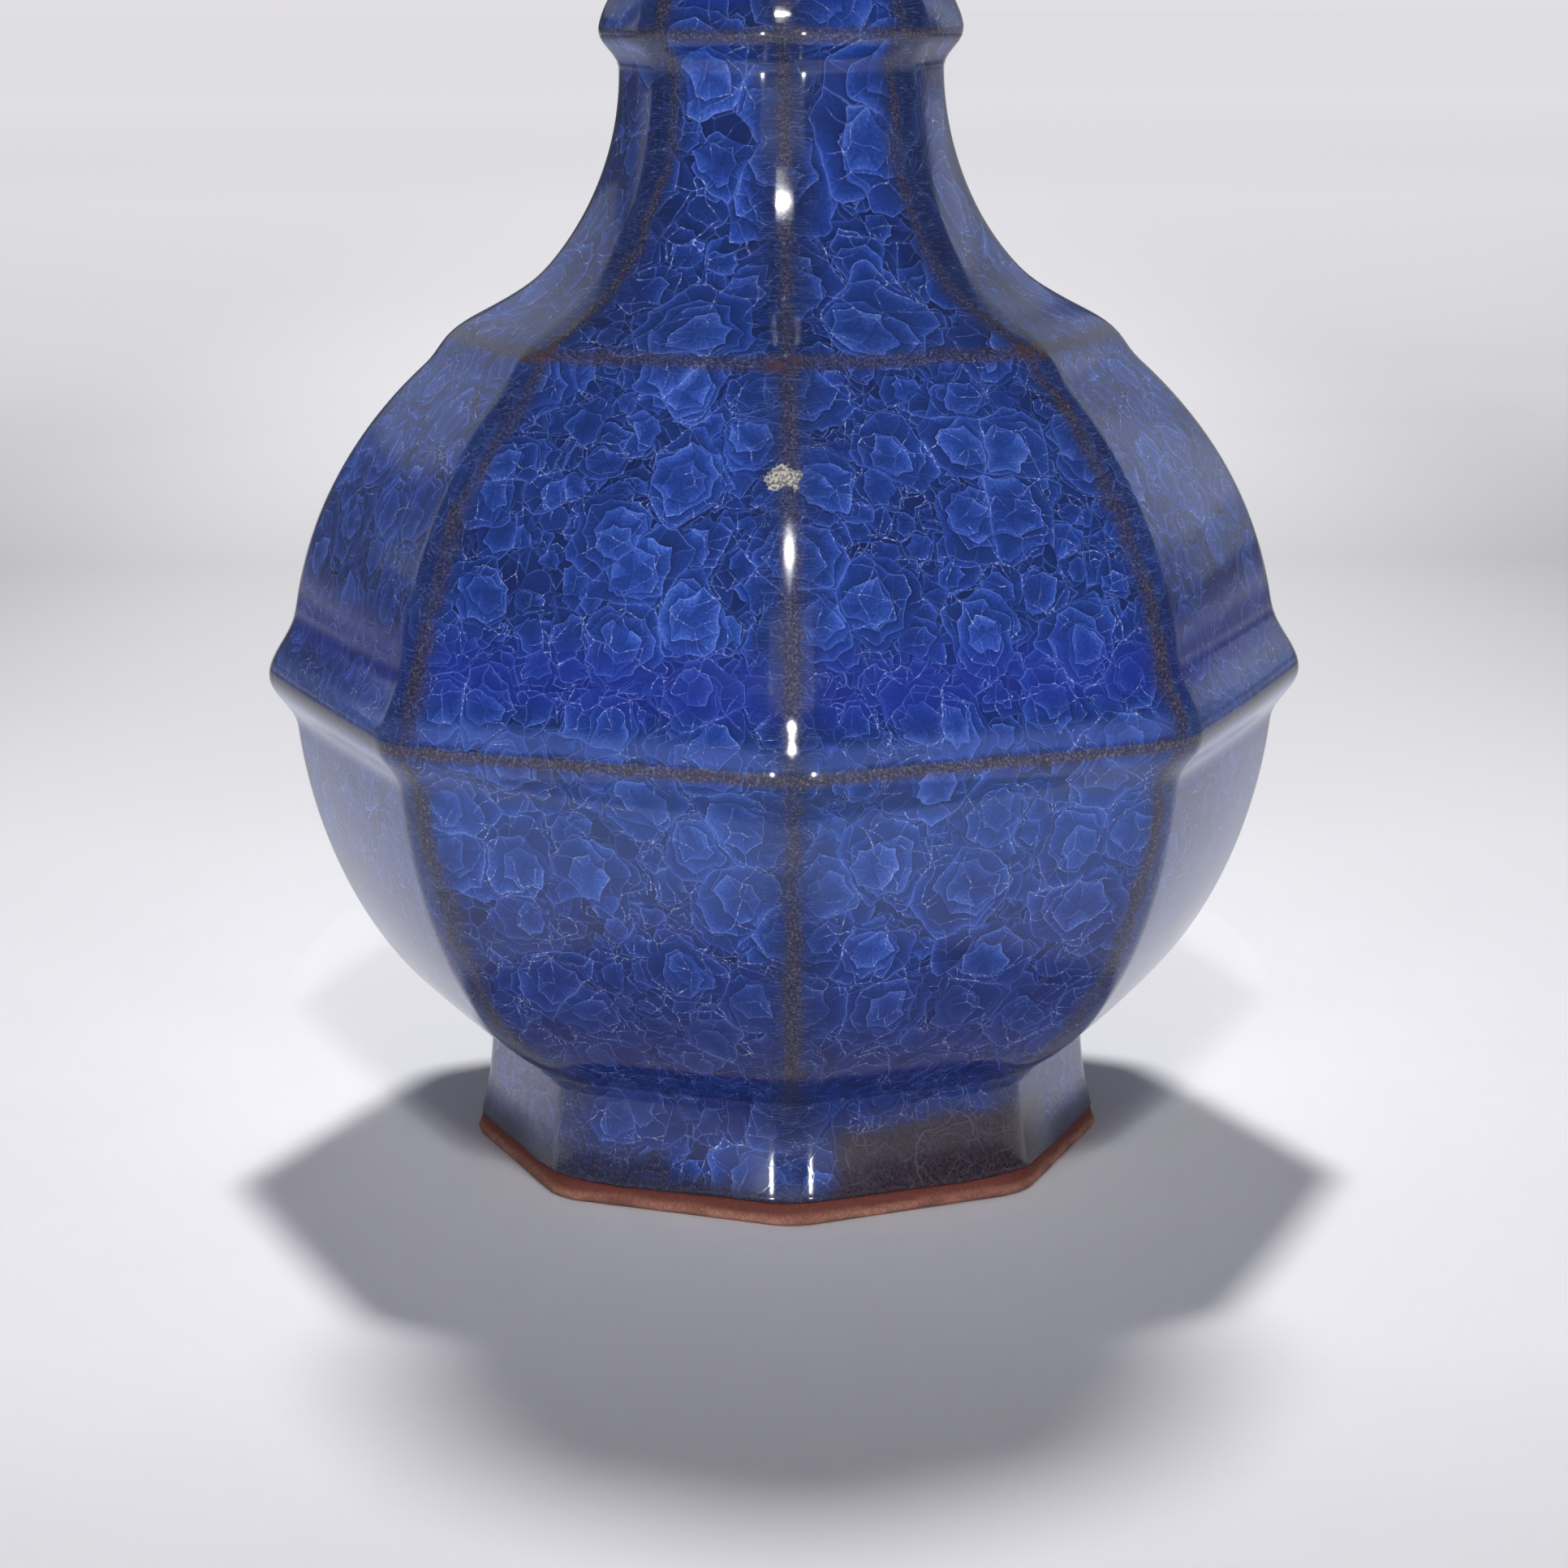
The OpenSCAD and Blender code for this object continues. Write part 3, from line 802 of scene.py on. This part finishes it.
CRACKLE_GLAZE = crackle_glaze()
LINER_GLAZE = plain_crackle("liner_glaze", 0.9)
BASE_GLAZE = plain_crackle("base_glaze", 0.8)
BARE_CLAY = fired_clay("bare_clay", srgb(118, 68, 54), srgb(160, 112, 94), scorch=3.2)
BODY_CLAY = fired_clay("body_clay", srgb(110, 78, 62), srgb(134, 100, 82))
SLIP = fired_clay("slip", srgb(120, 92, 74), srgb(146, 118, 98))

for name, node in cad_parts.items():
    node.data.materials.clear()
    node.data.materials.append(SLIP if name.startswith("slip") else BARE_CLAY if name == "foot_ring" else BODY_CLAY)


# Pieces

BORE = under_wall(GLAZE + WALL)
SHINE = under_wall(GLAZE + WALL + LINER)


def lip(line, top, reach, way, turns):
    """A lip rounded over, inward (-1) or outward (1), at the end of a line."""
    points = []
    for turn in turns:
        z = top - reach + reach * math.sin(math.radians(turn))
        points.append((radius_at(line, z) + way * reach * (1 - math.cos(math.radians(turn))) / FLAT, z))
    return points


def coat_outside():
    """The crackle glaze: up the outside, over the lip, and back down against the clay."""
    start = outline(BARE_RIM)
    line = [(start - 0.9 * MM, BARE_RIM + 0.5 * MM), (start - 0.35 * MM, BARE_RIM + 0.05 * MM),
            (start - 0.08 * MM, BARE_RIM + 0.4 * MM)]
    line += [(outline(z), z) for z in heights(BARE_RIM + MM, TOP_Z - LIP, 0.9 * MM)]
    mouth = [(outline(z), z) for z in heights(TOP_Z - LIP, TOP_Z, 0.5 * MM)]
    line += lip(mouth, TOP_Z, LIP, -1, (15, 30, 45, 60, 75, 90))
    seam = radius_at(BORE, TOP_Z - GLAZE) + CLAY_LIP / FLAT
    line += [(seam, TOP_Z), (seam, TOP_Z - 1.1 * MM)]
    line += [(outline(z) - COAT_BACK, z) for z in heights(TOP_Z - 4 * MM, BARE_RIM + 2 * MM, 4 * MM)]
    bm = octagon_wall(line, CORNER, SIDE_CUTS)
    crowd_to_corners(bm, CORNER_ROOM)
    bulge(bm, SWELLING)
    hand_made(bm, UNEVEN, UNEVEN_SIZE)
    # the lower edge has run unevenly
    for v in bm.verts:
        if v.co.z < RUN_TOP:
            v.co.z += RUN_DEPTH * noise.noise(v.co / RUN_TOP) * (1 - v.co.z / RUN_TOP)
    finish_piece("crackle_coat", bm, CRACKLE_GLAZE, "crackle_glaze", "outer_glaze")


def coat_inside():
    """The glaze inside: a thin cup from the floor up the bore and over the lip."""
    seam = radius_at(BORE, TOP_Z - GLAZE) + CLAY_LIP / FLAT
    top = TOP_Z - 0.02 * MM
    line = [(radius_at(BORE, z) + 0.3 * MM, z) for z in heights(FLOOR_TOP, TOP_Z - 4 * MM, 6 * MM)]
    line += [(seam + MM, TOP_Z - 0.9 * MM), (seam + 0.05 * MM, top)]
    line += reversed(lip(SHINE, top, CLAY_LIP, 1, (0, 18, 36, 54, 72, 90)))
    line += [(radius_at(SHINE, z), z) for z in heights(TOP_Z - CLAY_LIP - 1.5 * MM, FLOOR_TOP + LINER, 2.5 * MM)]
    finish_piece("inner_coat", octagon_wall(line, 3 * MM, 5, closed=False), LINER_GLAZE, "liner_glaze", "inner_glaze")


def ring_of_clay():
    """The foot ring: bare where it stands, its edges worn soft."""
    r, inner, top = outline(0.0), RING_INNER_R, 12 * MM
    line = [(inner + 1.1 * MM, 0.0), (r - 1.3 * MM, 0.0), (r - 0.75 * MM, 0.25 * MM), (r - 0.4 * MM, 0.9 * MM)]
    line += [(outline(z) - 0.3 * MM, z) for z in (1.6 * MM, 2.6 * MM, 3.4 * MM)]
    line += [(outline(z) - COAT_BACK, z) for z in (4.4 * MM, 8 * MM, top)]
    line += [(inner - 2.3 * MM, top), (inner - 0.1 * MM, 1.2 * MM), (inner + 0.4 * MM, 0.3 * MM)]
    bm = octagon_wall(line, 3.3 * MM, SIDE_CUTS)
    for v in bm.verts:
        if LEVEL < v.co.z < WEAR_TOP:
            v.co += Vector((v.co.x, v.co.y, 0)).normalized() * WEAR_DEPTH * noise.noise(v.co / WEAR_SIZE)
    finish_piece("foot_clay", bm, BARE_CLAY, "bare_clay", "foot_ring")


def coat_under_floor():
    """The glaze in the recess: up its wall and across its ceiling, as a thin upturned cup."""
    inner = RING_INNER_R
    line = [(inner - 4.6 * MM, FLOOR_BOTTOM - 0.05 * MM), (inner - 0.2 * MM, BARE_RIM + 0.1 * MM),
            (inner - 0.7 * MM, BARE_RIM), (inner - 1.1 * MM, BARE_RIM + 0.5 * MM), (inner - 2.6 * MM, 8 * MM),
            (inner - 3.4 * MM, 10.4 * MM), (inner - 4.4 * MM, 11.4 * MM), (inner - 6.5 * MM, FLOOR_BOTTOM - 0.8 * MM)]
    finish_piece("base_coat", octagon_wall(line, 2 * MM, 3, closed=False), BASE_GLAZE, "base_glaze", "base_glaze")


coat_outside()
coat_inside()
ring_of_clay()
coat_under_floor()


# Stage, lamps and camera

# The paper from front to back, by metres behind the vase's axis: its tone at the sides, its tone in the middle, and how
# much it glows as a backdrop. The tones are painted light and shade, darker in a band 0.4 to 0.6 m behind, and the
# glow is painted light.
FLOOR_TONES = (
    (-0.17, 0.77, 0.76, 0.0), (-0.10, 0.85, 0.84, 0.0), (0.06, 0.83, 0.84, 0.0), (0.20, 0.77, 0.84, 0.0),
    (0.38, 0.57, 0.74, 0.0), (0.60, 0.46, 0.68, 0.0), (0.97, 0.69, 0.88, 0.01), (1.60, 0.73, 0.82, 0.29),
    (2.40, 0.72, 0.77, 0.52), (4.40, 0.71, 0.72, 0.66),
)
SIDE_TONE, MIDDLE_TONE, GLOW = 1, 2, 3
# Depths count from this far in front of the axis; the ramp starts at its near depth and draws the far end together
RAMP_FRONT, RAMP_NEAR = 0.7, 0.5
# How far from the middle the side tone starts and is full; where the shades far back lie, their inner and outer radius,
# their strength and their tone; how far out the glow starts to fade and ends
SIDE_START, SIDE_FULL = 0.13, 0.32
SHADE_PLACE, SHADE_RADII, SHADE_STRENGTH, SHADE_TONE = (0.74, 0.74, 0), (0.15, 0.45), 0.75, srgb(70, 70, 78)
GLOW_START, GLOW_END = 0.2, 0.9


def tone_ramp(tree, back, column):
    return ramp(tree, back, [(1 - RAMP_NEAR / (row[0] + RAMP_FRONT),
                              (row[column], row[column] * 0.99, row[column] * 1.03, 1)) for row in FLOOR_TONES])


def pale_floor():
    """A wide pale floor of studio paper, with painted light and shade: a little lighter along its middle, darker in a
    band behind the vase, softly shaded far back on both sides, and glowing far back.
    """
    bm = bmesh.new()
    bmesh.ops.create_grid(bm, x_segments=24, y_segments=24, size=12)
    mesh = bpy.data.meshes.new("pale_floor")
    bm.to_mesh(mesh)
    bm.free()
    material, tree, shader = new_material("floor_paper")
    place = object_place(tree)
    x, y, _ = parts(tree, place)
    side = unsigned(tree, x)
    depth = calc(tree, "MAXIMUM", plus(tree, y, RAMP_FRONT), RAMP_NEAR)
    back = minus(tree, 1.0, ratio(tree, RAMP_NEAR, depth))
    # painted light and shade: lighter along the middle, darker in a band behind the vase
    colour = blend(tree, remap(tree, side, SIDE_START, SIDE_FULL, smooth=True),
                   tone_ramp(tree, back, MIDDLE_TONE), tone_ramp(tree, back, SIDE_TONE))
    x_off, y_off, _ = parts(tree, vector(tree, "SUBTRACT", join(tree, side, y), SHADE_PLACE))
    shade = remap(tree, distance(tree, x_off, y_off), *SHADE_RADII, SHADE_STRENGTH, 0.0, smooth=True)
    colour = blend(tree, shade, colour, SHADE_TONE)
    fleck = cloud(tree, place, 0.05, 4.0)["Fac"]
    colour = blend(tree, remap(tree, fleck, 0.3, 0.7, 0.0, 0.03), colour, srgb(120, 118, 130))
    feed(tree, shader.inputs["Base Color"], colour)
    feed(tree, shader.inputs["Roughness"], remap(tree, fleck, 0.3, 0.7, 0.65, 0.8))
    # painted glow: the far paper gives off light, most along the middle
    outside = minus(tree, side, times(tree, y, 0.3))
    outside = remap(tree, outside, GLOW_START, GLOW_END, 0.0, 0.9, smooth=True)
    feed(tree, shader.inputs["Emission Color"], blend(tree, outside, tone_ramp(tree, back, GLOW), (0, 0, 0, 1)))
    shader.inputs["Emission Strength"].default_value = 1.0
    mesh.materials.append(material)
    piece = bpy.data.objects.new("pale_floor", mesh)
    bpy.context.scene.collection.objects.link(piece)


def lamp(name, azimuth, elevation, distance, size, power, aim=(0, 0, 0.09), tall=None, spread=None, tone=None):
    """A soft box that looks at the vase. Azimuth 0 is its front, 90 its right; the spread is in degrees."""
    light = bpy.data.lights.new(name, "AREA")
    light.shape = "RECTANGLE" if tall else "DISK"
    light.size = size
    if tall:
        light.size_y = tall
    if spread:
        light.spread = math.radians(spread)
    if tone:
        light.color = tone
    light.energy = power
    a, e = math.radians(azimuth), math.radians(elevation)
    box = bpy.data.objects.new(name, light)
    way = Vector((math.sin(a) * math.cos(e), -math.cos(a) * math.cos(e), math.sin(e)))
    box.location = Vector(aim) + way * distance
    box.rotation_euler = way.to_track_quat("Z", "Y").to_euler()
    box.visible_camera = False
    bpy.context.scene.collection.objects.link(box)


def studio():
    # from high behind, for the shadow that falls forward on the table
    lamp("key", 180, 70.6, 2.2, 0.24, 38, aim=(0, 0, 0))
    # in front, for the highlights along the front corner and the light on the foot
    lamp("front_box", 0, 43, 1.2, 0.055, 0.62, tall=0.4)
    lamp("front_spot", 0, 45, 1.2, 0.08, 0.03, aim=(0, 0, 0.085), spread=13)
    lamp("foot_spot", 0, 45, 1.3, 0.2, 0.0184, aim=(0, -0.01, 0), spread=10)
    lamp("low_fill", 0, 16, 1.3, 1.7, 1.88, tall=0.6)
    # low on either side of the front, for the pairs of narrow highlights on the foot and under the neck ridge
    for name, azimuth in (("twin_left", -30.5), ("twin_right", 32)):
        lamp(name, azimuth, 0, 1.1, 0.09, 3.6, aim=(0, 0, 0.078), tall=0.15)
    # pale walls behind on either side, for the veils on the side facets
    cool = (0.85, 0.91, 1.0)
    lamp("wall_right", 147, 0, 1.2, 0.55, 0.58, aim=(0, 0, 0.6), tall=1.0, tone=cool)
    lamp("panel_right", 139, 0, 1.2, 0.2, 0.08, aim=(0, 0, 0.45), tall=0.5, tone=cool)
    lamp("wall_left", -150, 28, 1.3, 0.55, 0.46, aim=(0, 0, 0.12), tall=0.75, tone=cool)
    lamp("panel_left", -128, 0, 1.2, 0.2, 0.11, aim=(0, 0, 0.37), tall=0.36, tone=cool)
    # a dim room, seen as a white backdrop
    world = bpy.data.worlds.new("room")
    world.use_nodes = True
    tree = world.node_tree
    seen = tree.nodes.new("ShaderNodeLightPath").outputs["Is Camera Ray"]
    feed(tree, tree.nodes["Background"].inputs[0], blend(tree, seen, (0.1, 0.1, 0.108, 1), srgb(225, 223, 228)))
    bpy.context.scene.world = world


# The photograph's place, as solved from the levels of the vase, its sensor's width and its lens in millimetres, and in
# degrees how far it looks down, its turn about the vase and its roll
CAMERA_PLACE, SENSOR, LENS = (-0.0002, -0.60225, 0.19269), 36, 85.87
DOWN, TURN, ROLL = 12.525, -0.758, -0.3244


def camera():
    """The photograph's camera: 0.6 m away, a little above the vase's middle, looking down on it."""
    lens = bpy.data.cameras.new("camera")
    lens.sensor_width = SENSOR
    lens.lens = LENS
    lens.clip_start = 0.02
    view = bpy.data.objects.new("camera", lens)
    turn, tilt, roll = (Matrix.Rotation(math.radians(angle), 4, axis)
                        for angle, axis in ((TURN, "Z"), (90 - DOWN, "X"), (ROLL, "Z")))
    view.matrix_world = turn @ Matrix.Translation(CAMERA_PLACE) @ tilt @ roll
    bpy.context.scene.collection.objects.link(view)
    bpy.context.scene.camera = view


pale_floor()
studio()
camera()
bpy.context.scene.view_settings.view_transform = "Standard"
